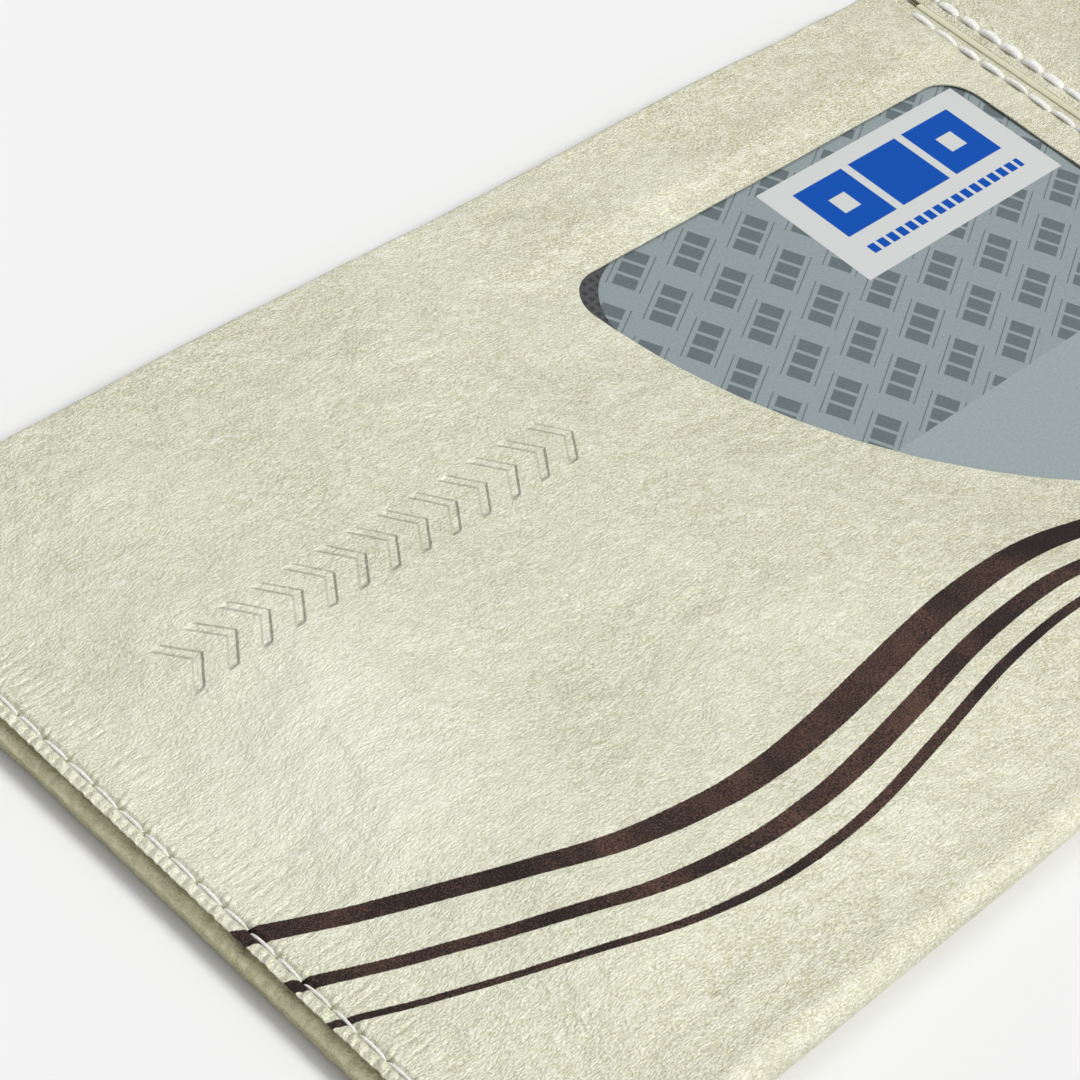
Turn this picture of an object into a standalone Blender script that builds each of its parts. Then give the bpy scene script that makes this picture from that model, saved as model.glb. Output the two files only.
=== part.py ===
"""Card wallet of folded spunbonded sheet, lying open with its inner side up.

Two sewn pockets stand on a shielded outer cover and fold face to face about the
crease between them. Sizes are in millimetres and are turned to metres as the
meshes are made. X runs along the open wallet, Y from the near fold to the far
edge, Z up from the outer face.
"""

import math

import bmesh
import bpy

MM = 0.001

# Overall height of the wallet, near fold to far edge
HEIGHT = 62.5

# Sheet stock
SHEET_T = 0.25              # pocket fronts
COVER_T = 0.25              # outer cover
LINING_T = 0.20             # backs of the pockets
SHIELD_T = 0.15             # shielding cloth

# Clearances
GAP = 0.30                  # between neighbouring pieces
HEM_ROOM = 0.20             # inside a hem folded flat
THREAD_GAP = 0.20           # under the thread
FOLD_GAP = 0.15             # above the highest thread, up to the fold axis

# Card that shows in the window
CARD_LENGTH = 85.60
CARD_WIDTH = 53.98
CARD_T = 0.76
CARD_CORNER = 3.18
CARD_SIDE = 2.60            # crease to the near end of the card
END_ROOM = 15.8             # far end of the card to the short edge
CARD_FOOT = 0.45            # card to the inside of the near fold

# Window in the front of the left pocket: a quarter of a disc
WINDOW_RADIUS = 44.2
WINDOW_SIDE = 4.9           # crease to the straight side edge
WINDOW_TOP = 10.05          # far edge to the straight top edge
WINDOW_CORNER = 3.18
SHIELD_TIP_CORNER = 5.9     # the shield shows in the tip of the window

# Folds, hems and edges
HEM_DEPTH = 6.8             # turned under at the far edge
COVER_HEM = 10.0            # turned in at the short edge
EDGE_SLIT = 0.45            # open slit between cover hem and pocket front
EDGE_STEP = 0.30            # cover stands out past the pocket front
FLANGE = 1.2                # pocket front turned under past the near fold
COVER_FAR = 0.4             # far edge to the cover's cut edge
LINING_FAR = 3.0            # far edge to the lining's cut edge
SHEET_CORNER = 2.0          # rounded corners of the flat sheets
STRIP_CORNER = 0.3          # and of the strips of the spine
PINCH = 0.68                # share of the height that is left at the sewn short edge
PINCH_END = 3.0             # short edge to the full pinch
PINCH_STEPS = 6
MERGE = 0.0001              # points nearer than this to a cut lie on it

# Spine
PANEL_SIDE = 0.40           # crease to the edge of a pocket front
ROW_SIDE = 1.55             # crease to the row of stitches
SPINE_COVER = 4.1           # half widths of the three strips of the spine
SPINE_SHIELD = 3.6
SPINE_LINING = 3.0
SHIELD_SIDE = 2.2           # crease to the edge of a front shield

# Second slot, on the right pocket
SLOT_DEPTH = 39.0           # near fold to the slot's mouth

# Seams
SEAM_INSET = 0.95           # edge of the pocket front to its row of stitches
EDGE_PITCH = 2.2
SPINE_PITCH = 2.3
THREAD_D = 0.25
HOLE_SHARE = 0.5            # of the thread's width that is left at a hole
SEAM_END = 1.4              # fold or hem to the first stitch

FOLD_STEPS = 10             # facets in a half turn of a fold
CORNER_STEPS = 5
ARC_STEPS = 24
THREAD_SIDES = 6
SHARP_ANGLE = 40            # degrees between faces, past which an edge stays sharp
MARKER_SIZE = 10.0          # drawn size of the joints' axes

# Length of one half, crease to short edge: 104 mm with a standard card
CARD_END = CARD_SIDE + CARD_LENGTH
HALF_LENGTH = CARD_END + END_ROOM

# Levels of the sheets, from the outer face up
NEAR = -HEIGHT / 2
FAR = HEIGHT / 2
FRONT_ROOM = max(SHEET_T + HEM_ROOM, SHIELD_T + GAP)
Z_SHIELD = COVER_T + GAP
Z_LINING = Z_SHIELD + SHIELD_T + GAP
Z_CARD = Z_LINING + LINING_T + GAP
Z_PANEL = Z_CARD + CARD_T + GAP + FRONT_ROOM
Z_FRONT_SHIELD = Z_PANEL - GAP - SHIELD_T
Z_SLOT = Z_PANEL + SHEET_T + GAP
PANEL_TOP = Z_PANEL + SHEET_T
SLOT_TOP = Z_SLOT + SHEET_T
FOLD_AXIS = SLOT_TOP + THREAD_GAP + THREAD_D + FOLD_GAP

# Places that several pieces share
PANEL_END = HALF_LENGTH - EDGE_STEP
EDGE_ROW = PANEL_END - SEAM_INSET
BAND_TOP = Z_PANEL - EDGE_SLIT
TUCK_END = HALF_LENGTH - BAND_TOP / 2
LEAF_END = TUCK_END - COVER_HEM
COVER_NEAR = NEAR + SLOT_TOP / 2 + FLANGE + GAP
PINCH_FROM = CARD_END + GAP
SLOT_MOUTH = NEAR + SLOT_DEPTH


class FoldPath:
    """Middle line of a folded sheet, drawn as straight runs and round turns."""

    def __init__(self, u, v, heading):
        self.u, self.v, self.heading = u, v, heading
        self.points = [(u, v, heading)]

    def run(self, length):
        angle = math.radians(self.heading)
        self.u += length * math.cos(angle)
        self.v += length * math.sin(angle)
        self.points.append((self.u, self.v, self.heading))

    def turn(self, angle, radius, steps=FOLD_STEPS):
        side = 1 if angle > 0 else -1
        middle = math.radians(self.heading + 90 * side)
        cu = self.u + radius * math.cos(middle)
        cv = self.v + radius * math.sin(middle)
        for step in range(1, steps + 1):
            heading = self.heading + angle * step / steps
            spoke = math.radians(heading - 90 * side)
            self.points.append((cu + radius * math.cos(spoke), cv + radius * math.sin(spoke), heading))
        self.u, self.v, self.heading = self.points[-1]

    def outline(self, thickness):
        """Closed outline of the sheet around its middle line."""
        sides = ([], [])
        for u, v, heading in self.points:
            normal = math.radians(heading + 90)
            for side, sign in zip(sides, (1, -1)):
                reach = sign * thickness / 2
                side.append((u + reach * math.cos(normal), v + reach * math.sin(normal)))
        return sides[0] + sides[1][::-1]


def arc(cx, cy, radius, start, end, steps):
    """Points of an arc, both ends included, with angles in degrees."""
    angles = [math.radians(start + (end - start) * i / steps) for i in range(steps + 1)]
    return [(cx + radius * math.cos(a), cy + radius * math.sin(a)) for a in angles]


def rounded_rectangle(x0, x1, y0, y1, radius):
    """Outline of a sheet with rounded corners, anticlockwise."""
    corners = ((x1, y1, 0), (x0, y1, 90), (x0, y0, 180), (x1, y0, 270))
    points = []
    for x, y, start in corners:
        cx = x - radius if x == x1 else x + radius
        cy = y - radius if y == y1 else y + radius
        points += arc(cx, cy, radius, start, start + 90, CORNER_STEPS)
    return points


def quarter_window(tip_radius):
    """Outline of the window: a quarter disc with its three corners rounded."""
    cx, cy = -WINDOW_SIDE, FAR - WINDOW_TOP
    tip_reach = math.sqrt((WINDOW_RADIUS - tip_radius) ** 2 - tip_radius ** 2)
    foot_reach = math.sqrt((WINDOW_RADIUS - WINDOW_CORNER) ** 2 - WINDOW_CORNER ** 2)
    tip_angle = 180 + math.degrees(math.atan2(tip_radius, tip_reach))
    foot_angle = 270 - math.degrees(math.atan2(WINDOW_CORNER, foot_reach))
    points = arc(cx - WINDOW_CORNER, cy - WINDOW_CORNER, WINDOW_CORNER, 0, 90, CORNER_STEPS)
    points += arc(cx - tip_reach, cy - tip_radius, tip_radius, 90, tip_angle, CORNER_STEPS)
    points += arc(cx, cy, WINDOW_RADIUS, tip_angle, foot_angle, ARC_STEPS)[1:-1]
    points += arc(cx - WINDOW_CORNER, cy - foot_reach, WINDOW_CORNER, foot_angle, 360, CORNER_STEPS)
    return points


def pinch_share(x):
    """Share of its height that the wallet keeps at a place along its length."""
    start, end = PINCH_FROM, HALF_LENGTH - PINCH_END
    t = min(max((abs(x) - start) / (end - start), 0.0), 1.0)
    return 1 - (1 - PINCH) * t * t * (3 - 2 * t)


def press_edges(bm):
    """Cut a mesh across near the short edges and press it down to the seam there."""
    start, end = PINCH_FROM, HALF_LENGTH - PINCH_END
    for side in (-1, 1):
        for step in range(PINCH_STEPS + 1):
            x = side * (start + (end - start) * step / PINCH_STEPS)
            parts = bm.verts[:] + bm.edges[:] + bm.faces[:]
            bmesh.ops.bisect_plane(bm, geom=parts, dist=MERGE, plane_co=(x, 0, 0), plane_no=(1, 0, 0))
    for vert in bm.verts:
        vert.co.z *= pinch_share(vert.co.x)


def sweep_outline(bm, outline, plane, start, end):
    """Sweep a closed outline straight along the axis that its plane leaves out."""
    place = {
        "YZ": lambda u, v, w: (w, u, v),
        "XZ": lambda u, v, w: (u, w, v),
        "XY": lambda u, v, w: (u, v, w),
    }[plane]
    face = bm.faces.new([bm.verts.new(place(u, v, start)) for u, v in outline])
    swept = bmesh.ops.extrude_face_region(bm, geom=[face])
    moved = [item for item in swept["geom"] if isinstance(item, bmesh.types.BMVert)]
    bmesh.ops.translate(bm, verts=moved, vec=place(0, 0, end - start))
    bmesh.ops.recalc_face_normals(bm, faces=bm.faces)


def make_object(name, bm, material, carrier):
    """Turn a mesh drawn in millimetres into an object carried by an empty."""
    bmesh.ops.recalc_face_normals(bm, faces=bm.faces)
    origin = carrier.location if carrier else (0, 0, 0)
    for vert in bm.verts:
        vert.co = [vert.co[i] * MM - origin[i] for i in range(3)]
    mesh = bpy.data.meshes.new(name)
    bm.to_mesh(mesh)
    bm.free()
    mesh.shade_smooth()
    mesh.set_sharp_from_angle(angle=math.radians(SHARP_ANGLE))
    mesh.materials.append(material)
    obj = bpy.data.objects.new(name, mesh)
    bpy.context.scene.collection.objects.link(obj)
    obj.parent = carrier
    return obj


def swept_piece(name, outline, plane, start, end, material, carrier=None):
    bm = bmesh.new()
    sweep_outline(bm, outline, plane, start, end)
    press_edges(bm)
    return make_object(name, bm, material, carrier)


def flat_sheet(name, x_near, x_far, y0, y1, z, thickness, material, carrier=None, corner=SHEET_CORNER):
    x0, x1 = sorted((x_near, x_far))
    outline = rounded_rectangle(x0, x1, y0, y1, corner)
    return swept_piece(name, outline, "XY", z, z + thickness, material, carrier)


def cut_with(target, name, outline, z0, z1):
    """Cut an outline through a sheet."""
    bm = bmesh.new()
    sweep_outline(bm, outline, "XY", z0, z1)
    cutter = make_object(name, bm, target.data.materials[0], target.parent)
    cutter.hide_render = True
    cutter.display_type = "WIRE"
    cut = target.modifiers.new(name, "BOOLEAN")
    cut.operation = "DIFFERENCE"
    cut.solver = "EXACT"
    cut.object = cutter


def make_material(name, colour, roughness, metallic=0.0):
    material = bpy.data.materials.new(name)
    material.use_nodes = True
    shader = material.node_tree.nodes["Principled BSDF"]
    shader.inputs["Base Color"].default_value = (*colour, 1.0)
    shader.inputs["Roughness"].default_value = roughness
    shader.inputs["Metallic"].default_value = metallic
    return material


def make_carrier(name, location):
    """Empty on the axis of a joint, which carries the pieces that move with it."""
    empty = bpy.data.objects.new(name, None)
    empty.empty_display_size = MARKER_SIZE * MM
    empty.location = [value * MM for value in location]
    bpy.context.scene.collection.objects.link(empty)
    return empty


def fold_inner_y(top, thickness, z_low, z_high):
    """Nearest Y that a sheet between two heights may reach inside a near fold."""
    outer = top / 2
    inner = outer - thickness
    height = max(abs(z_low - outer), abs(z_high - outer))
    return NEAR + outer - math.sqrt(max(inner * inner - height * height, 0.0)) + GAP


def front_path(z, hem):
    """Middle line of a pocket front: far edge, front leaf, near fold, flange."""
    middle = z + SHEET_T / 2
    if hem:
        radius = (SHEET_T + HEM_ROOM) / 2
        path = FoldPath(FAR - HEM_DEPTH, middle - 2 * radius, 0)
        path.run(HEM_DEPTH - radius - SHEET_T / 2)
        path.turn(180, radius)
    else:
        path = FoldPath(SLOT_MOUTH, middle, 180)
    return path


def near_fold(path, top):
    """Carry a pocket front on round the near fold and a little way under."""
    radius = (top - SHEET_T) / 2
    path.run(path.u - (NEAR + top / 2))
    path.turn(180, radius)
    path.run(FLANGE)


def make_cover(side, material, carrier=None):
    """Outer cover of one half, with its short edge turned in as a round hem."""
    name = "outer_cover_left" if side < 0 else "outer_cover_right"
    radius = (BAND_TOP - COVER_T) / 2
    path = FoldPath(SPINE_COVER + GAP, COVER_T / 2, 0)
    path.run(TUCK_END - SPINE_COVER - GAP)
    path.turn(180, radius)
    path.run(COVER_HEM)
    outline = [(side * u, v) for u, v in path.outline(COVER_T)]
    return swept_piece(name, outline, "XZ", COVER_NEAR, FAR - COVER_FAR, material, carrier)


def make_backs(side, lining, shield, carrier=None):
    """Shield on the cover and back of the pocket, both tucked into the cover's hem."""
    word = "left" if side < 0 else "right"
    top = PANEL_TOP if side < 0 else SLOT_TOP
    near = fold_inner_y(top, SHEET_T, Z_LINING, Z_LINING + LINING_T)
    flat_sheet(f"shield_back_{word}", side * (SPINE_SHIELD + GAP), side * TUCK_END, COVER_NEAR,
               FAR - LINING_FAR, Z_SHIELD, SHIELD_T, shield, carrier)
    flat_sheet(f"pocket_back_{word}", side * (SPINE_LINING + GAP), side * TUCK_END, near,
               FAR - LINING_FAR, Z_LINING, LINING_T, lining, carrier)


def make_front_shield(side, shield, carrier=None):
    """Shield behind the front of a pocket, short of the front's far hem and the cover's hem."""
    word = "left" if side < 0 else "right"
    top = PANEL_TOP if side < 0 else SLOT_TOP
    near = fold_inner_y(top, SHEET_T, Z_FRONT_SHIELD, Z_PANEL)
    return flat_sheet(f"shield_front_{word}", side * SHIELD_SIDE, side * (LEAF_END - GAP), near,
                      FAR - HEM_DEPTH - GAP, Z_FRONT_SHIELD, SHIELD_T, shield, carrier)


def thread_row(name, x, pitch, levels, material, carrier=None):
    """One sewing thread along Y, drawn thin at each hole and full between the holes.

    levels lists (upper end in Y, height of the sheet under the thread).
    """
    start, end = NEAR + SEAM_END, FAR - SEAM_END
    count = int((end - start) / pitch)
    first = (start + end - count * pitch) / 2
    stations = []
    for index in range(count):
        y = first + index * pitch
        stations += [(y, HOLE_SHARE), (y + pitch / 4, 1.0), (y + pitch * 3 / 4, 1.0)]
    stations.append((first + count * pitch, HOLE_SHARE))
    bm = bmesh.new()
    rings = []
    for y, share in stations:
        level = next(z for reach, z in levels if y - pitch / 2 <= reach)
        z = level * pinch_share(x) + THREAD_GAP + THREAD_D / 2
        outline = arc(x, z, share * THREAD_D / 2, 0, 360, THREAD_SIDES)[:-1]
        rings.append([bm.verts.new((u, y, v)) for u, v in outline])
    for ring, following in zip(rings, rings[1:]):
        for i in range(THREAD_SIDES):
            j = (i + 1) % THREAD_SIDES
            bm.faces.new((ring[i], ring[j], following[j], following[i]))
    bm.faces.new(rings[0])
    bm.faces.new(rings[-1])
    return make_object(name, bm, material, carrier)


def make_left_half(sheet, lining, shield, thread):
    make_cover(-1, sheet)
    make_backs(-1, lining, shield)
    front_shield = make_front_shield(-1, shield)
    tip = quarter_window(SHIELD_TIP_CORNER)
    cut_with(front_shield, "shield_window_cut", tip, Z_CARD + CARD_T, PANEL_TOP)
    path = front_path(Z_PANEL, hem=True)
    near_fold(path, PANEL_TOP)
    panel = swept_piece("window_panel", path.outline(SHEET_T), "YZ", -PANEL_END, -PANEL_SIDE, sheet)
    window = quarter_window(WINDOW_CORNER)
    cut_with(panel, "window_cut", window, Z_CARD + CARD_T, PANEL_TOP + GAP)
    levels = [(FAR, PANEL_TOP)]
    thread_row("edge_thread_left", -EDGE_ROW, EDGE_PITCH, levels, thread)
    thread_row("spine_thread_left", -ROW_SIDE, SPINE_PITCH, levels, thread)


def make_card(plastic, carrier):
    """Plain plastic card, standing on the near fold inside the left pocket."""
    near = fold_inner_y(PANEL_TOP, SHEET_T, Z_CARD, Z_CARD + CARD_T) + CARD_FOOT - GAP
    flat_sheet("pocket_card", -CARD_SIDE, -CARD_END, near, near + CARD_WIDTH, Z_CARD, CARD_T,
               plastic, carrier, corner=CARD_CORNER)


def make_spine(sheet, lining, shield, carrier):
    """Strips of cover, shield and lining that turn round the closed wallet's back."""
    strips = (
        ("outer_cover_spine", SPINE_COVER, FAR - COVER_FAR, 0.0, COVER_T, sheet),
        ("shield_spine", SPINE_SHIELD, FAR - LINING_FAR, Z_SHIELD, SHIELD_T, shield),
        ("pocket_back_spine", SPINE_LINING, FAR - LINING_FAR, Z_LINING, LINING_T, lining),
    )
    for name, half, far, z, thickness, material in strips:
        flat_sheet(name, -half, half, COVER_NEAR, far, z, thickness, material, carrier,
                   corner=STRIP_CORNER)


def make_right_half(sheet, lining, shield, thread, carrier):
    make_cover(1, sheet, carrier)
    make_backs(1, lining, shield, carrier)
    make_front_shield(1, shield, carrier)
    path = front_path(Z_PANEL, hem=True)
    path.run(path.u - fold_inner_y(SLOT_TOP, SHEET_T, Z_PANEL, PANEL_TOP))
    swept_piece("plain_panel", path.outline(SHEET_T), "YZ", PANEL_SIDE, PANEL_END, sheet, carrier)
    path = front_path(Z_SLOT, hem=False)
    near_fold(path, SLOT_TOP)
    swept_piece("slot_front", path.outline(SHEET_T), "YZ", PANEL_SIDE, PANEL_END, sheet, carrier)
    levels = [(SLOT_MOUTH, SLOT_TOP), (FAR, PANEL_TOP)]
    thread_row("edge_thread_right", EDGE_ROW, EDGE_PITCH, levels, thread, carrier)
    thread_row("spine_thread_right", ROW_SIDE, SPINE_PITCH, levels, thread, carrier)


def main():
    for obj in list(bpy.data.objects):
        bpy.data.objects.remove(obj, do_unlink=True)
    sheet = make_material("spunbonded_sheet", (0.65, 0.65, 0.48), 0.5)
    lining = make_material("lining_sheet", (0.60, 0.60, 0.45), 0.6)
    shield = make_material("shield_cloth", (0.035, 0.035, 0.038), 0.55, 0.3)
    plastic = make_material("card_plastic", (0.27, 0.33, 0.34), 0.4)
    thread = make_material("seam_thread", (0.85, 0.84, 0.76), 0.35)
    fold = make_carrier("fold_axis", (0, 0, FOLD_AXIS))
    spine = make_carrier("spine_axis", (0, 0, FOLD_AXIS))
    slide = make_carrier("card_slide", (-(CARD_SIDE + CARD_END) / 2, 0, Z_CARD))
    make_left_half(sheet, lining, shield, thread)
    make_card(plastic, slide)
    make_spine(sheet, lining, shield, spine)
    make_right_half(sheet, lining, shield, thread, fold)


main()
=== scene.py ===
"""Looks of a card wallet of folded spunbonded sheet, lying open on a pale table.

Sizes are in millimetres and are turned to metres as the meshes are made. X runs
along the open wallet, Y from the near fold to the far edge, Z up from the table.
"""

import functools
import math

import bmesh
import bpy
import numpy as np
from mathutils import Matrix, Vector
from mathutils.geometry import delaunay_2d_cdt


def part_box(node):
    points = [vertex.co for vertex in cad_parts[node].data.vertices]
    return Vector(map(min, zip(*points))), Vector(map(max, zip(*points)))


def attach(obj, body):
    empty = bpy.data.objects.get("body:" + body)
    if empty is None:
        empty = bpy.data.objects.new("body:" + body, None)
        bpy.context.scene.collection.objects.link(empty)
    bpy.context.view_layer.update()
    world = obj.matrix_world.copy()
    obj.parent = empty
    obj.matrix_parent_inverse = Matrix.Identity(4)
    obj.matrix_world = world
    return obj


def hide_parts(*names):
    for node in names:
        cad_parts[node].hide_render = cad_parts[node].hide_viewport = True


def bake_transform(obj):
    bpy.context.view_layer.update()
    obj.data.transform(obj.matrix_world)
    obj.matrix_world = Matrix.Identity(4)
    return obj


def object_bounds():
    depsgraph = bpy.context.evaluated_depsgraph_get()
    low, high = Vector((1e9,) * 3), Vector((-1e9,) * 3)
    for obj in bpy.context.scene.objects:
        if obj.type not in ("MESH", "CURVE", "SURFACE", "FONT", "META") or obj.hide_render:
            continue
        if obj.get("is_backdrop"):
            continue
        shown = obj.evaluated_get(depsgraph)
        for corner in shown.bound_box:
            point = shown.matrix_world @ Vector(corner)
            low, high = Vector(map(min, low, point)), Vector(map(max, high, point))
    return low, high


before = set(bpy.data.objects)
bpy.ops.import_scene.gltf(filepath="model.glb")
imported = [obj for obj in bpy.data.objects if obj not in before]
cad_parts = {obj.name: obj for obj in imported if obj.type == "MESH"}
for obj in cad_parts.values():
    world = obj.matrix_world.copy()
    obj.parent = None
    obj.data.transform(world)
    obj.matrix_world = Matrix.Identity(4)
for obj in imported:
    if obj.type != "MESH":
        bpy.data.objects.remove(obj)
cad_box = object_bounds()

MM = 0.001


def node_box(node):
    """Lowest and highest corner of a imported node, in millimetres."""
    return [[value / MM for value in corner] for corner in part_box(node)]


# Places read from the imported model
cover_low, cover_high = node_box("outer_cover_left")
panel_low, panel_high = node_box("window_panel")
slot_low, slot_high = node_box("slot_front")
card_low, card_high = node_box("pocket_card")
lining_low, lining_high = node_box("pocket_back_left")
shield_low, shield_high = node_box("shield_back_left")
front_shield_low, front_shield_high = node_box("shield_front_left")
right_shield_low, right_shield_high = node_box("shield_front_right")

NEAR, FAR = panel_low[1], panel_high[1]
HALF_LENGTH = -cover_low[0]
PANEL_END = -panel_low[0]
PANEL_SIDE = -panel_high[0]
PANEL_TOP = panel_high[2]
SLOT_TOP = slot_high[2]
SLOT_MOUTH = slot_high[1]
COVER_NEAR, COVER_FAR = cover_low[1], cover_high[1]
BAND_TOP = cover_high[2]
COVER_HEM = 10.0            # leaf turned in at the short edge
BAND_SHOULDER = 0.9         # rounding of that hem
LINING_END = -lining_low[0]
CARD_TOP = card_high[2]

# Sheet stock
SHEET_T = 0.25
LINING_T = 0.20
SHIELD_T = 0.15
THIN_SHIELD_T = 0.06        # behind the fronts
FLANGE = 1.45               # front turned under past the near fold, up to the cover's edge
HEM_DEPTH = 6.8
HEM_ROOM = 0.20
LOOP_MARGIN = 0.28          # no loose mesh points nearer than this to a cut's outline

# Height that is left at the sewn short edges
PINCH = 0.68
PINCH_FROM = 88.5
PINCH_TO = 101.0

# Window: a quarter of a disc with rounded corners
WINDOW_RADIUS = 44.2
WINDOW_SIDE = 4.9
WINDOW_TOP = 21.2
WINDOW_CORNER = 3.18
TIP_CORNER = 6.3            # the shield's own, wider corner, which shows in the window's tip
RIM_GAP = 0.03              # card to the sheet's lower side at the rim
SHIELD_GAP = 0.06           # front to the shield behind it
RIDGE_BELOW = 0.26          # fronts' top to the lining's ridge between them
HEM_LIFT = 0.44             # least rise where the far hem lies double over the card
CARD_CORNER = 3.18
SAG_REACH = 14.0

# Seams: place of each row, a hole and the stitch length
EDGE_ROW = 102.75
SPINE_ROW = 1.55
EDGE_SEAM = (0.67, 2.20)
LEFT_SPINE_SEAM = (25.45, 2.37)
RIGHT_SPINE_SEAM = (25.40, 2.13)
SEAM_END = 1.5              # fold or hem to the last hole
THREAD_W = 0.60
THREAD_H = 0.34
EDGE_THREAD_W = 0.23

# Debossed strip on the left front: a plain row of chevrons
BADGE = (-93.4, 8.5, 12.5)  # first place along X, and both along Y
BADGE_COUNT = 13
BADGE_PITCH = 2.7
BADGE_LINE = 0.75           # along X
BADGE_WALL = 0.30
BADGE_SLANT = 0.8
BADGE_DEPTH = 0.18
DENTS = (-101.2, -99.4)     # the feed's dents beside the short edge's seam, along X
DENT_PITCH = 0.72
DENT_DEPTH = 0.05

# Painted light: paler patches on the left front that paint its sheen and a highlight (place, reach, share,
# tint), and the lit top and shaded lower edge painted on the hem
PAINTED_SHEEN_PATCHES = (((-92.0, 8.0, 3.3), 70.0, 0.40, "#E0E2D0"), ((-91.0, 0.0, 3.3), 15.0, 0.40, "#FAFAF0"))
HEM_PAINTED_LIGHT = (1.0, 1.6)
HEM_PAINTED_SHADE = 1.0

SHEET_ROUGHNESS = 0.43
INK_ROUGHNESS = 0.75

# Camera of the photograph: place, look direction and roll
CAMERA_AT = (-189.211, -74.815, 143.364)
CAMERA_AZIMUTH = -56.632
CAMERA_ELEVATION = 44.067
CAMERA_ROLL = -14.824
CAMERA_LENS = 107.085


def linear(code):
    """Linear colour of an sRGB hex code."""
    shares = [int(code[i:i + 2], 16) / 255 for i in (1, 3, 5)]
    return [c / 12.92 if c <= 0.04045 else ((c + 0.055) / 1.055) ** 2.4 for c in shares] + [1.0]


def node_adder(tree):
    """The function that adds a node to a tree."""
    def add(kind, inputs=(), operation=None, out=0, **settings):
        """Add a node with its settings and inputs, and give one of its outputs, or all where out is None.

        A shader node's kind goes without its first word.
        """
        node = tree.nodes.new(kind if "Node" in kind else "ShaderNode" + kind)
        if operation:
            node.operation = operation
        for key, value in settings.items():
            setattr(node, key, value)
        for key, value in inputs.items() if isinstance(inputs, dict) else enumerate(inputs):
            if isinstance(value, bpy.types.NodeSocket):
                tree.links.new(value, node.inputs[key])
            else:
                node.inputs[key].default_value = value
        return node.outputs if out is None else node.outputs[out]
    return add


def new_material(name, roughness, metallic=0.0, specular=0.5):
    """Material with one Principled shader, the adder of its nodes, and the shader."""
    material = bpy.data.materials.new(name)
    material.use_nodes = True
    shader = material.node_tree.nodes["Principled BSDF"]
    for socket, value in (("Roughness", roughness), ("IOR", 1.5), ("Metallic", metallic),
                          ("Specular IOR Level", specular)):
        shader.inputs[socket].default_value = value
    return material, node_adder(material.node_tree), shader


def dress(add, shader, colour, height, depth, strength=1.0):
    """Give a shader its colour, and its relief with the depth in metres that a height of 1 has."""
    links = shader.id_data.links
    links.new(colour, shader.inputs["Base Color"])
    bump = add("Bump", {"Strength": strength, "Distance": depth, "Height": height})
    links.new(bump, shader.inputs["Normal"])


def laid_over(add, colour, *layers):
    """Colour with others laid over it, each one by its own mask."""
    for mask, upper in layers:
        upper = linear(upper) if isinstance(upper, str) else upper
        colour = add("Mix", {0: mask, 6: colour, 7: upper}, out=2, data_type="RGBA")
    return colour


def joined(add, masks, operation="MAXIMUM"):
    """One mask from several: all of them, or with MULTIPLY their overlap."""
    return functools.reduce(lambda one, other: add("Math", [one, other], operation), masks)


def fibre_texture(add, coords, turn, stretch, size, detail=3.0):
    """Noise drawn out along one direction, like fibres; size in millimetres across them."""
    mapped = add("Mapping", {"Vector": coords, "Rotation": (0, 0, math.radians(turn)),
                             "Scale": (1 / stretch, 1, 1)})
    return add("TexNoise", {"Vector": mapped, "Scale": 1 / (size * MM), "Detail": detail, "Roughness": 0.6})


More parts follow.
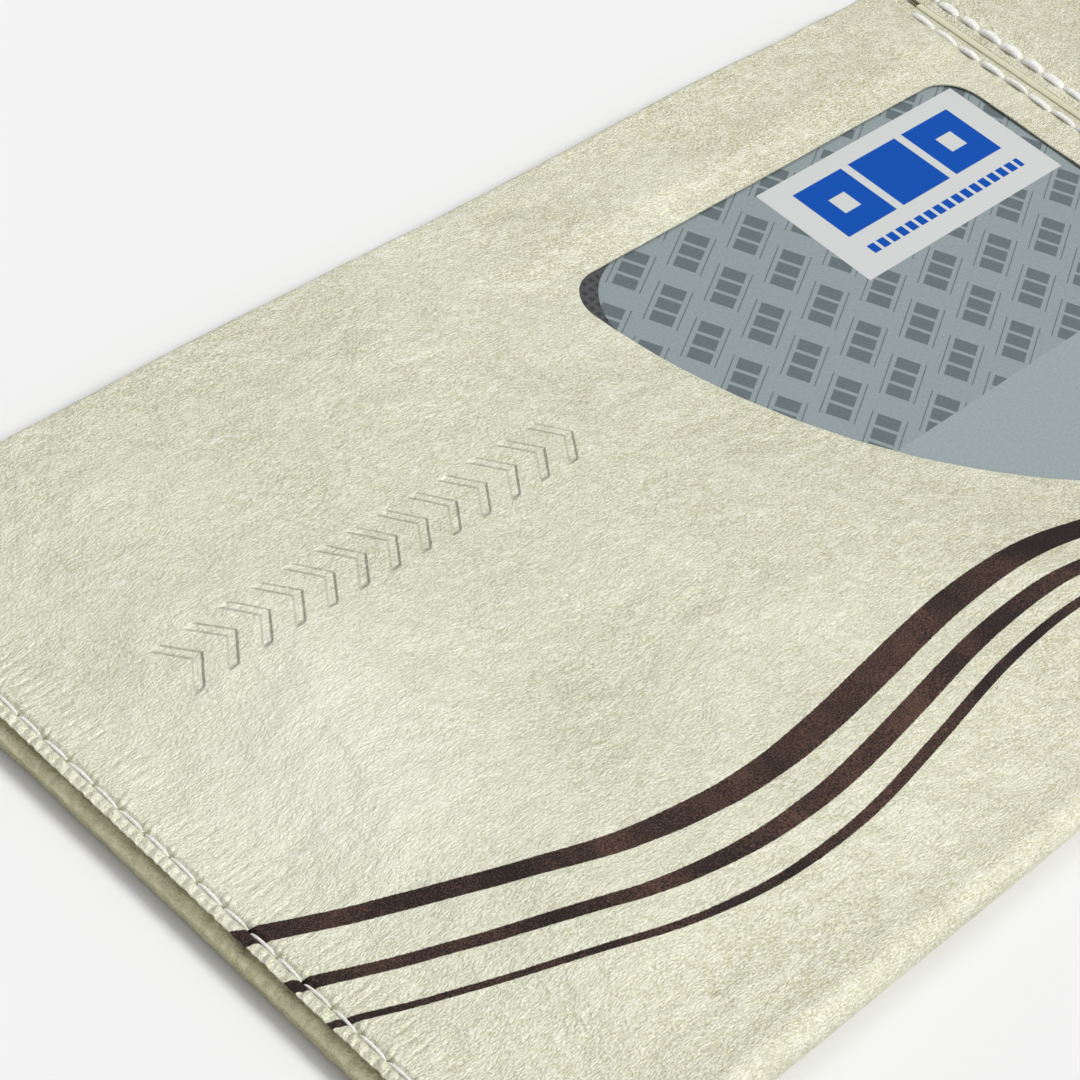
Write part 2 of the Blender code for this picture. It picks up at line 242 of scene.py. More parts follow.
def sheet_material(name, low, high, fibres, printed=False, painted_hem_light=False):
    """Flash-spun polyethylene sheet with a pearl coat: fibrous, softly crumpled, satin."""
    material, add, shader = new_material(name, SHEET_ROUGHNESS, metallic=0.30)
    coords = add("TexCoord", out=3)
    # Fibres 0.1 to 0.3 mm wide, drawn out along the sheet, with fewer across it
    grain = fibre_texture(add, coords, 10, 2.2, 0.10, 2.0)
    long_fibres = fibre_texture(add, coords, 4, 6.0, 0.22)
    cross_fibres = fibre_texture(add, coords, 68, 3.0, 0.26)
    creases = fibre_texture(add, coords, 25, 1.6, 0.8)
    crumples, clouds = (
        add("TexNoise", {"Vector": coords, "Scale": 1 / (size * MM), "Detail": detail,
                         "Roughness": roughness, "Distortion": distortion})
        for size, detail, roughness, distortion in ((3.2, 4.0, 0.55, 0.5), (14.0, 5.0, 0.6, 0.6)))
    tone = add("MapRange", [clouds, 0.3, 0.7])
    streaks = add("MapRange", [grain, 0.39, 0.63, 0.0, 0.8])
    worn = add("MapRange", [creases, 0.50, 0.66, 0.0, 0.34])
    base = laid_over(add, linear(low), (tone, high), (streaks, fibres), (worn, fibres))
    x, y, z = add("SeparateXYZ", [coords], out=None)
    if printed:
        # Paler patches laid over the colour: painted sheen over the left front, and a painted highlight where it
        # bulges
        for place, reach, share, tint in PAINTED_SHEEN_PATCHES:
            away = add("VectorMath", [coords, [v * MM for v in place]], "DISTANCE", out=1)
            sheen_share = add("MapRange", [away, 0.0, reach * MM, share, 0.0])
            base = laid_over(add, base, (sheen_share, tint))
    if painted_hem_light:
        # Painted light on the hem: paler streaks along its upper rounding paint the light it catches, and a
        # darker colour towards the table paints the shade at its lower edge
        streak = fibre_texture(add, coords, 90, 5.0, 0.6)
        streak = add("MapRange", [streak, 0.4, 0.62, 0.25, 1.0])
        shoulder = band(add, z, HEM_PAINTED_LIGHT[0] * MM, HEM_PAINTED_LIGHT[1] * MM, 0.4 * MM)
        shoulder = add("Math", [shoulder, streak], "MULTIPLY")
        foot = add("MapRange", [z, 0.1 * MM, HEM_PAINTED_SHADE * MM, 0.6, 0.0])
        base = laid_over(add, base, (shoulder, "#E9E5C0"), (foot, "#6B664B"))
    # Relief in millimetres
    height = 0.0
    for texture, size in ((grain, 0.10), (long_fibres, 0.045), (cross_fibres, 0.035), (creases, 0.09),
                          (crumples, 0.25), (clouds, 0.6)):
        height = add("Math", [texture, size, height], "MULTIPLY_ADD")
    if printed:
        ink = print_mask(add, x, unfolded(add, y, z), grain)
        # Copper grains of the ink, lighter in patches: partly the ink's own grain, partly painted sheen
        dots = add("TexNoise", {"Vector": coords, "Scale": 1 / (0.11 * MM), "Detail": 1.0})
        dots = add("Math", [clouds, 1.3, dots], "MULTIPLY_ADD")
        grain_and_sheen_specks = add("MapRange", [dots, 1.1, 1.6])
        base = laid_over(add, base, (ink, laid_over(add, linear("#1F1411"), (grain_and_sheen_specks, "#7A5848"))))
        dull = add("MapRange", {0: ink, 3: SHEET_ROUGHNESS, 4: INK_ROUGHNESS})
        shader.id_data.links.new(dull, shader.inputs["Roughness"])
        height = add("Math", [chevron_mask(add, x, y), -BADGE_DEPTH, height], "MULTIPLY_ADD")
        height = add("Math", [feed_dents(add, x, y, crumples), -DENT_DEPTH, height], "MULTIPLY_ADD")
    dress(add, shader, base, height, MM)
    return material


def apart(add, one, other):
    """Distance between two values."""
    return add("Math", [add("Math", [one, other], "SUBTRACT")], "ABSOLUTE")


def band(add, value, low, high, soft):
    """1 between two values, with soft ends."""
    half = (high - low) / 2
    return add("MapRange", [apart(add, value, (low + high) / 2), half - soft / 2, half + soft / 2, 1.0, 0.0],
               interpolation_type="SMOOTHSTEP")


def chevron_mask(add, x, y):
    """Row of plain chevrons along the badge."""
    x0, y0, y1 = BADGE
    place = add("Math", [apart(add, y, (y0 + y1) / 2 * MM), BADGE_SLANT, x], "MULTIPLY_ADD")
    place = add("Math", [add("Math", [place, x0 * MM], "SUBTRACT"), BADGE_PITCH * MM], "DIVIDE")
    part = add("Math", [place], "FRACT")
    half = BADGE_LINE / 2 / BADGE_PITCH
    return joined(add, [band(add, part, 0.5 - half, 0.5 + half, BADGE_WALL / BADGE_PITCH),
                        band(add, place, 0.0, BADGE_COUNT, 0.02),
                        band(add, y, y0 * MM, y1 * MM, BADGE_WALL * MM)], "MULTIPLY")


def feed_dents(add, x, y, noise):
    """Short dents beside the short edge's seam, where the machine's feed pressed the sheet."""
    place = add("Math", [noise, 1.6, add("Math", [y, DENT_PITCH * MM], "DIVIDE")], "MULTIPLY_ADD")
    dents = band(add, add("Math", [place], "FRACT"), 0.34, 0.66, 0.32)
    shifted = add("Math", [noise, 3.0 * MM, x], "MULTIPLY_ADD")
    inside = band(add, shifted, (1.5 + DENTS[0]) * MM, (1.5 + DENTS[1]) * MM, 0.8 * MM)
    uneven = add("MapRange", [noise, 0.35, 0.65, 0.3, 1.0])
    return joined(add, [dents, inside, uneven], "MULTIPLY")


# Print on the left front: plain nested waves that run down along the sheet, wide to thin
WAVE_LENGTH = 75.0
WAVE_HEIGHT = 3.6
WAVE_START = -134.0
WAVE_FALL = -0.17           # fall of the waves along X
WAVE_LEVEL = -8.0           # height of the first one at the short edge
WAVE_LINES = ((0.0, 1.6), (-4.2, 1.1), (-7.4, 0.6))
WAVE_CLOSING = 0.5          # share of their spacing that is left at the crease


def unfolded(add, y, z):
    """Place across the sheet, which runs on past the near fold to the leaf below."""
    below = add("Math", [z, PANEL_TOP / 2 * MM], "LESS_THAN")
    folded = add("Math", [2 * NEAR * MM, y], "SUBTRACT")
    return add("Mix", {0: below, 2: y, 3: folded})


def print_mask(add, x, y, grain):
    """Mask of the printed waves, with a slightly ragged ink edge."""
    turn = math.tau / WAVE_LENGTH
    angle = add("Math", [x, turn / MM, -turn * WAVE_START], "MULTIPLY_ADD")
    sine = add("Math", [angle], "SINE")
    cosine = add("Math", [angle], "COSINE")
    slope = add("Math", [cosine, turn * WAVE_HEIGHT, WAVE_FALL], "MULTIPLY_ADD")
    longer = add("Math", [add("Math", [slope, slope, 1.0], "MULTIPLY_ADD")], "SQRT")
    falling = add("Math", [x, WAVE_FALL, (WAVE_LEVEL + WAVE_FALL * HALF_LENGTH) * MM], "MULTIPLY_ADD")
    first = add("Math", [sine, WAVE_HEIGHT * MM, falling], "MULTIPLY_ADD")
    spread = add("MapRange", [x, -HALF_LENGTH * MM, 0.0, 1.0, WAVE_CLOSING])
    ragged = add("MapRange", [grain, 0.3, 0.7, -0.03 * MM, 0.03 * MM])
    lines = []
    for level, width in WAVE_LINES:
        wave = add("Math", [spread, level * MM, first], "MULTIPLY_ADD")
        off = add("Math", [apart(add, y, wave), longer], "DIVIDE")
        swell = add("Math", [cosine, 0.14 * width * MM, width / 2 * MM], "MULTIPLY_ADD")
        inside = add("Math", [add("Math", [swell, off], "SUBTRACT"), ragged], "ADD")
        lines.append(add("MapRange", [inside, -0.02 * MM, 0.02 * MM]))
    return joined(add, lines)


def lining_material():
    """Uncoated spunbonded lining: matt, fibrous."""
    material, add, shader = new_material("uncoated_lining", 0.65)
    fibres = fibre_texture(add, add("TexCoord", out=3), 35, 4.0, 0.4)
    dress(add, shader, laid_over(add, linear("#CFCDAB"), (fibres, "#E2E1C8")), fibres, 0.05 * MM)
    return material


def shield_material():
    """Metal-coated polyester cloth, plain weave, dark grey with a dull metallic gleam."""
    material, add, shader = new_material("metallised_shield_cloth", 0.5, metallic=0.35)
    coords = add("TexCoord", out=3)
    # Threads of 0.35 mm, coarser than the real 0.15 mm so that the weave shows
    weave = joined(add, [add("TexWave", {"Vector": coords, "Scale": 1 / (2.2 * MM)}, out=1,
                             bands_direction=along) for along in "XY"])
    dress(add, shader, laid_over(add, linear("#2C2D2F"), (weave, "#4C4E50")), weave, 0.05 * MM, 0.8)
    return material


def thread_material(name, low, high):
    """Spun polyester sewing thread with the twist of its plies."""
    material, add, shader = new_material(name, 0.45)
    plies = fibre_texture(add, add("TexCoord", out=3), 50, 5.0, 0.14)
    tone = add("MapRange", [plies, 0.35, 0.6])
    dress(add, shader, laid_over(add, linear(low), (tone, high)), plies, 0.08 * MM)
    return material


# Card: label towards its near right end, slanted marks over the rest of its upper part
LABEL = (-29.1, -5.9, 9.2, 20.2)
LABEL_BLOCKS = 3
MARK_TURN = 26.9            # degrees from the card's length
MARK_PITCH = (6.43, 3.38)   # along a row and from row to row
MARK_FIRST = (-42.91, 19.96)
MARK_STAGGER = 2.42
MARK_BOXES = (              # blocks and rails of one mark, about its middle
    (-2.15, -0.95, -0.85, 0.85), (-0.65, 0.55, -0.85, 0.85), (0.85, 2.05, -0.85, 0.85),
    (-2.3, 2.2, -1.28, -1.18), (-2.3, 2.2, 1.18, 1.28))
MARK_LOW = -3.3             # the marks end here, and the card is plain below


def card_material():
    """Laminated PVC card: grey print under a fine matt overlay."""
    material, add, shader = new_material("laminated_card", 0.45, specular=0.08)
    coords = add("TexCoord", out=3)
    grain = add("TexNoise", {"Vector": coords, "Scale": 1 / (0.25 * MM), "Detail": 2.0, "Roughness": 0.7})
    x, y, _ = add("SeparateXYZ", [coords], out=None)
    plain = laid_over(add, linear("#8C999B"), (grain, "#A8B3B4"))
    marked = laid_over(add, linear("#5B686B"), (grain, "#757F83"))
    tint = add("MapRange", [y, (MARK_LOW - 0.05) * MM, (MARK_LOW + 0.05) * MM, 0.0, 0.18])
    tint = joined(add, [tint, slanted_marks(add, x, y)])
    base = laid_over(add, plain, (tint, marked), (box_mask(add, x, y, LABEL), "#D3D6D4"),
                     (label_print(add, x, y), "#004FB2"))
    dress(add, shader, base, grain, 0.01 * MM, 0.5)
    return material


def label_print(add, x, y):
    """Plain blocks over a row of dashes, at the size of a printed label."""
    x0, x1, y0, y1 = LABEL
    left, right, step = x0 + 2.4, x1 - 2.4, 0.8
    width = (right - left - (LABEL_BLOCKS - 1) * step) / LABEL_BLOCKS
    low, high, wall = y0 + 4.0, y1 - 1.5, 1.9
    shown = []
    for i in range(LABEL_BLOCKS):
        start = left + i * (width + step)
        shown.append(box_mask(add, x, y, (start, start + width, low, high)))
        if i != 1:
            opening = box_mask(add, x, y, (start + wall, start + width - wall, low + wall, high - wall))
            shown[i] = add("Math", [shown[i], opening], "SUBTRACT")
    dash = add("Math", [add("Math", [x, 1.1 * MM], "DIVIDE")], "FRACT")
    dash = add("Math", [dash, 0.7], "LESS_THAN")
    row = box_mask(add, x, y, (left, right, y0 + 1.7, y0 + 2.6))
    return joined(add, shown + [joined(add, [row, dash], "MULTIPLY")])


def box_mask(add, x, y, box):
    """1 inside a box of X and Y, in millimetres, with a fine printed edge."""
    parts = []
    for axis, low, high in ((x, box[0], box[1]), (y, box[2], box[3])):
        off = apart(add, axis, (low + high) / 2 * MM)
        half = (high - low) / 2
        parts.append(add("MapRange", [off, (half - 0.03) * MM, (half + 0.03) * MM, 1.0, 0.0]))
    return joined(add, parts, "MULTIPLY")


def slanted_marks(add, x, y):
    """Staggered rows of plain blocks between thin rails, as a security print."""
    turn = math.radians(MARK_TURN)
    aside = add("Math", [x, MARK_FIRST[0] * MM], "SUBTRACT")
    raised = add("Math", [y, MARK_FIRST[1] * MM], "SUBTRACT")
    along, across = (
        add("Math", [one, math.cos(turn), add("Math", [other, lean], "MULTIPLY")], "MULTIPLY_ADD")
        for one, other, lean in ((aside, raised, math.sin(turn)), (raised, aside, -math.sin(turn))))
    row = add("Math", [across, MARK_PITCH[1] * MM], "DIVIDE")
    index = add("Math", [row], "ROUND")
    shifted = add("Math", [index, -MARK_STAGGER * MM, along], "MULTIPLY_ADD")
    column = add("Math", [shifted, MARK_PITCH[0] * MM], "DIVIDE")
    nearest = add("Math", [column], "ROUND")
    places = [add("Math", [add("Math", [value, whole], "SUBTRACT"), pitch * MM], "MULTIPLY")
              for value, whole, pitch in ((column, nearest, MARK_PITCH[0]), (row, index, MARK_PITCH[1]))]
    mask = joined(add, [box_mask(add, *places, box) for box in MARK_BOXES])
    return joined(add, [mask, add("Math", [y, MARK_LOW * MM], "GREATER_THAN")], "MULTIPLY")


def table_material():
    """Matt pale studio table."""
    material, _, shader = new_material("pale_table", 0.9, specular=0.0)
    shader.inputs["Base Color"].default_value = linear("#F4F4F4")
    return material


def placed(name, data):
    """New object in the scene, from a mesh, a light or a camera."""
    obj = bpy.data.objects.new(name, data)
    bpy.context.scene.collection.objects.link(obj)
    return obj


class FoldLine:
    """Middle line of a folded sheet in the plane across its folds, measured along the sheet."""

    def __init__(self, u, v, heading):
        self.rows = [(0.0, u, v, heading)]

    def run(self, length):
        s, u, v, heading = self.rows[-1]
        angle = math.radians(heading)
        self.rows.append((s + length, u + length * math.cos(angle), v + length * math.sin(angle), heading))

    def turn(self, angle, radius, steps=48):
        s, u, v, heading = self.rows[-1]
        side = math.copysign(90, angle)
        spoke = math.radians(heading + side)
        cu, cv = u + radius * math.cos(spoke), v + radius * math.sin(spoke)
        for step in range(1, steps + 1):
            turned = angle * step / steps
            spoke = math.radians(heading + turned + side)
            self.rows.append((s + radius * math.radians(abs(turned)), cu - radius * math.cos(spoke),
                              cv - radius * math.sin(spoke), heading + turned))

    @property
    def length(self):
        return self.rows[-1][0]

    def at(self, s):
        """Place and outward normal at distances along the sheet."""
        table = np.array(self.rows)
        u, v, heading = (np.interp(s, table[:, 0], table[:, i]) for i in (1, 2, 3))
        angle = np.radians(heading)
        return u, v, np.sin(angle), -np.cos(angle)


def waves(x, y, length, seed, count=10):
    """Smooth uneven height between about -1 and 1, with humps about one length apart."""
    rng = np.random.default_rng(seed)
    total = np.zeros_like(x)
    for _ in range(count):
        angle, phase, size = rng.uniform(0, math.tau), rng.uniform(0, math.tau), rng.uniform(0.7, 1.5)
        total += np.sin(math.tau * (x * math.cos(angle) + y * math.sin(angle)) / (length * size) + phase)
    return total / math.sqrt(count) / 1.4


def ease(value, start, end):
    """0 before start, 1 after end, smooth between them."""
    t = np.clip((value - start) / (end - start), 0, 1)
    return t * t * (3 - 2 * t)


def hump(value, middle, half):
    """Bell of height 1 that dies out at half on both sides."""
    return ease(1 - np.abs(value - middle) / half, 0, 1)


def pinch_share(x):
    """Share of its height that the wallet keeps at a place along its length."""
    return 1 - (1 - PINCH) * ease(np.abs(x), PINCH_FROM, PINCH_TO)


def arc_points(cx, cy, radius, start, end, steps):
    angles = np.radians(np.linspace(start, end, steps + 1))
    return np.column_stack((cx + radius * np.cos(angles), cy + radius * np.sin(angles)))


def quarter_window(tip_radius, spread=0.0, spacing=0.4):
    """Outline of the window, anticlockwise, pushed outwards by spread."""
    cx, cy = -WINDOW_SIDE, WINDOW_TOP
    tip_reach = math.sqrt((WINDOW_RADIUS - tip_radius) ** 2 - tip_radius ** 2)
    foot_reach = math.sqrt((WINDOW_RADIUS - WINDOW_CORNER) ** 2 - WINDOW_CORNER ** 2)
    tip_angle = 180 + math.degrees(math.atan2(tip_radius, tip_reach))
    foot_angle = 270 - math.degrees(math.atan2(WINDOW_CORNER, foot_reach))
    corner, tip = WINDOW_CORNER + spread, tip_radius + spread
    stretches = [
        arc_points(cx - WINDOW_CORNER, cy - WINDOW_CORNER, corner, 0, 90, 14),
        arc_points(cx - tip_reach, cy - tip_radius, tip, 90, tip_angle, 24),
        arc_points(cx, cy, WINDOW_RADIUS + spread, tip_angle, foot_angle, int(65 / spacing)),
        arc_points(cx - WINDOW_CORNER, cy - foot_reach, corner, foot_angle, 360, 16),
    ]
    loop = []
    for stretch, following in zip(stretches, stretches[1:] + stretches[:1]):
        loop += list(map(tuple, stretch))
        gap = following[0] - stretch[-1]
        count = int(np.hypot(*gap) / spacing)
        loop += [tuple(stretch[-1] + gap * i / count) for i in range(1, count)] if count > 1 else []
    kept = [loop[0]]
    for point in loop[1:]:
        if math.dist(point, kept[-1]) > 0.02 and math.dist(point, loop[0]) > 0.02:
            kept.append(point)
    return np.array(kept)


def inside_loop(points, loop):
    """Which points lie inside a closed loop."""
    x, y = points[:, 0], points[:, 1]
    inside = np.zeros(len(points), bool)
    for (x0, y0), (x1, y1) in zip(loop, np.roll(loop, -1, axis=0)):
        if y0 == y1:
            continue
        crosses = (y0 > y) != (y1 > y)
        inside ^= crosses & (x < x0 + (y - y0) * (x1 - x0) / (y1 - y0))
    return inside


def near_loop(points, loop, reach):
    """Which points lie within reach of a loop's own points."""
    close = np.zeros(len(points), bool)
    box = ((points >= loop.min(0) - reach) & (points <= loop.max(0) + reach)).all(1)
    for index in np.flatnonzero(box):
        gaps = loop - points[index]
        close[index] = (gaps * gaps).sum(1).min() < reach * reach
    return close


def graded(stretches):
    """Rising stations from stretches of (start, end, spacing)."""
    stations = []
    for start, end, spacing in stretches:
        count = max(1, round((end - start) / spacing))
        stations += list(np.linspace(start, end, count + 1)[1 if stations else 0:])
    return np.array(stations)


def grid_points(xs, ss):
    u, v = np.meshgrid(xs, ss)
    return np.column_stack((u.ravel(), v.ravel()))


def doubled_areas(plan, faces):
    """Twice the area of each triangle."""
    a, b, c = (plan[faces[:, i]] for i in range(3))
    return np.abs((b[:, 0] - a[:, 0]) * (c[:, 1] - a[:, 1]) - (b[:, 1] - a[:, 1]) * (c[:, 0] - a[:, 0]))


def plan_mesh(points, holes=(), rings=()):
    """Triangles of a flat cut: points, the holes cut through it and the rings kept round them."""
    keep = np.ones(len(points), bool)
    loops = list(holes) + list(rings)
    for hole in holes:
        keep &= ~inside_loop(points, hole)
    for loop in loops:
        keep &= ~near_loop(points, loop, LOOP_MARGIN)
    flat = [tuple(p) for p in points[keep]]
    edges = []
    for loop in loops:
        first = len(flat)
        flat += [tuple(p) for p in loop]
        count = len(loop)
        edges += [(first + i, first + (i + 1) % count) for i in range(count)]
    out = delaunay_2d_cdt([Vector(p) for p in flat], edges, [], 0, 1e-5)
    plan = np.array([tuple(p) for p in out[0]])
    faces = np.array(out[2])
    middles = plan[faces].mean(1)
    wanted = np.ones(len(faces), bool)
    for hole in holes:
        wanted &= ~inside_loop(middles, hole)
    wanted &= doubled_areas(plan, faces) > 1e-7
    return plan, faces[wanted]


def mesh_object(name, vertices, faces, material):
    """Object at the origin from a mesh in millimetres, faces pointing out."""
    mesh = bpy.data.meshes.new(name)
    mesh.from_pydata([tuple(v) for v in np.asarray(vertices) * MM], [], [tuple(map(int, f)) for f in faces])
    bm = bmesh.new()
    bm.from_mesh(mesh)
    loose = [v for v in bm.verts if not v.link_faces]
    bmesh.ops.delete(bm, geom=loose, context="VERTS")
    bmesh.ops.recalc_face_normals(bm, faces=bm.faces)
    bm.to_mesh(mesh)
    bm.free()
    mesh.shade_smooth()
    mesh.set_sharp_from_angle(angle=math.radians(50))
    mesh.materials.append(material)
    return placed(name, mesh)


def sheet_object(name, cut, line, shape, material, plane="YZ", thickness=SHEET_T, lift=None,
                 pressed=None):
    """Sheet of a thickness over a fold line, from the points and triangles of its cut.

    shape gives each point's rise along its normal, lift its rise along Z, and pressed the share of the
    thickness that is left beside a cut edge.
    """
    plan, faces = cut
    w, s = plan[:, 0], plan[:, 1]
    u, v, nu, nv = line.at(s)
    rise = shape(w, u, v, nu, nv)
    raised = lift(w, u) * np.where(u > 0, 1.0, np.clip(nv, 0, 1)) if lift else 0.0
    if pressed:
        thickness = thickness * pressed(w, u)
    sides = []
    for sign in (1, -1):
        reach = rise + sign * thickness / 2
        su, sv = u + nu * reach, v + nv * reach + raised
        xyz = np.column_stack((w, su, sv)) if plane == "YZ" else np.column_stack((su, w, sv))
        xyz[:, 2] *= pinch_share(xyz[:, 0])
        sides.append(xyz)
    count = len(plan)
    edges = {}
    for face in faces:
        for a, b in zip(face, np.roll(face, -1)):
            key = (min(a, b), max(a, b))
            edges[key] = None if key in edges else (a, b)
    rim = [pair for pair in edges.values() if pair]
    quads = [(a, b, b + count, a + count) for a, b in rim]
    all_faces = [tuple(f) for f in faces] + [tuple(f + count)[::-1] for f in faces] + quads
    obj = mesh_object(name, np.vstack(sides), all_faces, material)
    area = doubled_areas(plan, faces).sum() / 2
    tuple(np.ptp(plan, axis=0) * MM)
    return obj


def front_line(top, mouth=None):
    """Fold line of a pocket front: far hem, or plain edge at the mouth, front leaf, near fold, flange."""
    middle = top - SHEET_T + SHEET_T / 2
    if mouth is None:
        radius = (SHEET_T + HEM_ROOM) / 2
        line = FoldLine(FAR - HEM_DEPTH, middle - 2 * radius, 0)
        line.run(HEM_DEPTH - radius - SHEET_T / 2)
        line.turn(180, radius)
    else:
        line = FoldLine(mouth, middle, 180)
    radius = (top - SHEET_T) / 2
    line.front = line.length
    line.front_y = line.rows[-1][1]
    line.run(line.front_y - (NEAR + top / 2))
    line.front_end = line.length
    line.turn(180, radius)
    line.fold_end = line.length
    line.run(FLANGE)
    return line


def seam_relief(y, out, seam, seed, size=1.0):
    """Sheet along a row of stitches: holes, the thread's groove and the creases that it pulls inwards.

    out is the distance from the row towards the nearby cut edge.
    """
    first, pitch = seam
    rng = np.random.default_rng(seed)
    index = np.round((y - first) / pitch).astype(int)
    uneven = rng.uniform(0.6, 1.3, 64)[index % 64]
    along = y - first - index * pitch - rng.uniform(-0.12, 0.12, 64)[index % 64]
    reach = rng.uniform(0.6, 1.3, 64)[index % 64]
    lean = rng.uniform(-0.1, 0.4, 64)[index % 64]
    inward = -out
    across = along - lean * inward
    fade = ease(inward, 0.0, 0.15) * (1 - ease(inward, 0.3 * reach, reach))
    crease = -0.08 * hump(across, -0.02, 0.14)
    flanks = 0.16 * hump(across, 0.22, 0.22) + 0.10 * hump(across, -0.26, 0.20)
    hole = -0.34 * hump(np.hypot(along, out), 0, 0.26)
    groove = -0.19 * hump(out, 0, 0.34)
    return ((crease + flanks) * fade + hole) * uneven * size + groove * size


def edge_bumps(y, out, seam, seed):
    """Puffed folds across the strip between the seam and the cut edge, three to a stitch."""
    rng = np.random.default_rng(seed)
    cell = seam[1] / 3
    place = (y - seam[0]) / cell + 0.2 * out + 0.15 * np.sin(y * 1.7) + 0.5
    index = np.floor(place).astype(int)
    across = 2 * (place - index) - 1
    size = rng.uniform(0.14, 0.30, 97)[index % 97] + 0.12 * (index % 3 == 0)
    return (size * (1 - across ** 2) - 0.12) * ease(out, 0.06, 0.3) * (1 - 0.4 * ease(out, 0.6, 0.95))


def window_distance(x, y):
    """Rough distance from the window's outline, outside it."""
    dx, dy = x + WINDOW_SIDE, y - WINDOW_TOP
    radial = np.hypot(dx, dy) - WINDOW_RADIUS
    return np.maximum.reduce([dx, dy, radial, np.zeros_like(x)])


def soft_maximum(a, b, width):
    """The larger of two heights, with a rounded change from one to the other."""
    return (a + b + np.sqrt((a - b) ** 2 + width ** 2)) / 2


def front_drop(x, y):
    """How far the fronts are drawn down at the rows beside the crease and towards the near fold."""
    spine = 0.5 * (1 - ease(np.abs(x), SPINE_ROW, SPINE_ROW + 3.2))
    near = 0.5 * ease(-y, 18.0, 27.0) - 0.15 * hump(y, -30.0, 2.2)
    return soft_maximum(spine, near, 0.05)


def soft_waves(x, y, seed):
    """Slow waves of a front, which its seams hold flat."""
    held = ease(EDGE_ROW - np.abs(x), 0.5, 9.0) * ease(np.abs(x) - SPINE_ROW, 0.5, 6.0)
    return held * (0.20 * waves(x, y, 30, seed) + 0.08 * waves(x, y, 10, seed + 1))


def least_lift(x, y):
    """Lowest that a front may come: to the card, and less where the far hem lies double over the card."""
    hem = ease(y, WINDOW_TOP + 0.2, FAR - HEM_DEPTH) * ease(np.abs(x), 1.2, 2.5)
    return RIM_GAP - (PANEL_TOP - SHEET_T - CARD_TOP) + HEM_LIFT * hem


def left_lift(x, y):
    """Rise of the left front, which sags to the card round the window."""
    distance = window_distance(x, y)
    sag = (PANEL_TOP - SHEET_T - CARD_TOP - RIM_GAP) * (1 - ease(distance, 0, SAG_REACH))
    rise = soft_waves(x, y, 3) * ease(distance, 0, 6) - soft_maximum(sag, front_drop(x, y), 0.08)
    return soft_maximum(rise, least_lift(x, y), 0.04)


def right_lift(x, y):
    return soft_maximum(soft_waves(x, y, 13) - front_drop(x, y), least_lift(x, y), 0.04)


def upper_share(y, z, nz):
    """How far a front's points belong to its upper leaf, and not to its folds."""
    return np.clip(nz, 0, 1) * (y > NEAR) * (z > BAND_TOP)


def pressed_left(x, y):
    """Thickness left at the window's cut edge and along both side edges."""
    rim = 1 - ease(window_distance(x, y), 0, 0.6)
    side = 1 - ease(np.minimum(PANEL_END + x, -PANEL_SIDE - x), 0, 0.5)
    return 1 - np.maximum(0.55 * rim, 0.4 * side)


def pressed_right(x, y):
    return 1 - 0.4 * (1 - ease(np.minimum(PANEL_END - x, x - PANEL_SIDE), 0, 0.5))


def edge_relief(y, out, seed):
    """Relief along the short edge's seam."""
    relief = seam_relief(y, out, EDGE_SEAM, seed, 1.45) + edge_bumps(y, out, EDGE_SEAM, seed + 1)
    return relief - 0.05 * ease(out, -1.0, 0.3)


def left_front_shape(x, y, z, ny, nz):
    """Fine relief of the left front."""
    rise = 0.025 * waves(x, y, 3.6, 6, 16) + edge_relief(y, -(x + EDGE_ROW), 11)
    rise += seam_relief(y, x + SPINE_ROW, LEFT_SPINE_SEAM, 13, 0.35) - 0.14 * (1 - ease(-x, 0.4, 1.1))
    return rise * upper_share(y, z, nz)


def right_front_shape(x, y, z, ny, nz):
    """Fine relief of the right front and of the slot on it."""
    rise = 0.02 * waves(x, y, 3.6, 16, 16) + edge_relief(y, x - EDGE_ROW, 21)
    rise += seam_relief(y, SPINE_ROW - x, RIGHT_SPINE_SEAM, 23, 0.45) - 0.14 * (1 - ease(x, 0.4, 1.1))
    return rise * upper_share(y, z, nz)


def make_left_front(material):
    """Front of the left pocket, with finer points along its seams, dents and window."""
    line = front_line(PANEL_TOP)
    leaf = line.front + 0.4
    xs = graded([(-PANEL_END, -101.2, 0.25), (-101.2, -96.0, 0.5), (-96.0, -4.2, 0.8),
                 (-4.2, -PANEL_SIDE, 0.22)])
    ss = graded([(0, line.front - 0.9, 0.9), (line.front - 0.9, leaf, 0.1), (leaf, line.front_end - 1.0, 0.8),
                 (line.front_end - 1.0, line.fold_end, 0.25), (line.fold_end, line.length, 0.5)])
    coarse = grid_points(xs, ss)
    fine = [grid_points(graded([(start, end, across)]), graded([(leaf, line.front_end, along)]))
            for start, end, across, along in ((-PANEL_END, -101.2, 0.12, 0.09), (-101.08, -97.4, 0.3, 0.18),
                                              (-3.4, -PANEL_SIDE, 0.18, 0.2))]
    for patch in fine:
        low, high = patch.min(0) - 0.15, patch.max(0) + 0.15
        inner = ((coarse > low) & (coarse < high)).all(1)
        on_rim = (coarse[:, 0] <= -PANEL_END + 1e-6) | (coarse[:, 0] >= -PANEL_SIDE - 1e-6)
        coarse = coarse[~(inner & ~on_rim)]
    points = np.unique(np.round(np.vstack([coarse] + fine), 5), axis=0)
    loops = [quarter_window(WINDOW_CORNER, spread) for spread in (0.0, 0.35, 0.9)]
    for loop in loops:
        loop[:, 1] = line.front + line.front_y - loop[:, 1]
    cut = plan_mesh(points, holes=loops[:1], rings=loops[1:])
    return sheet_object("left_pocket_front", cut, line, left_front_shape, material, lift=left_lift,
                        pressed=pressed_left)


def make_right_side(name, line, ss, material):
    """Sheet of the right half, with finer points beside the crease and the short edge."""
    xs = graded([(PANEL_SIDE, 4.2, 0.22), (4.2, 99.0, 0.9), (99.0, PANEL_END, 0.16)])
    cut = plan_mesh(grid_points(xs, graded(ss)))
    return sheet_object(name, cut, line, right_front_shape, material, lift=right_lift, pressed=pressed_right)


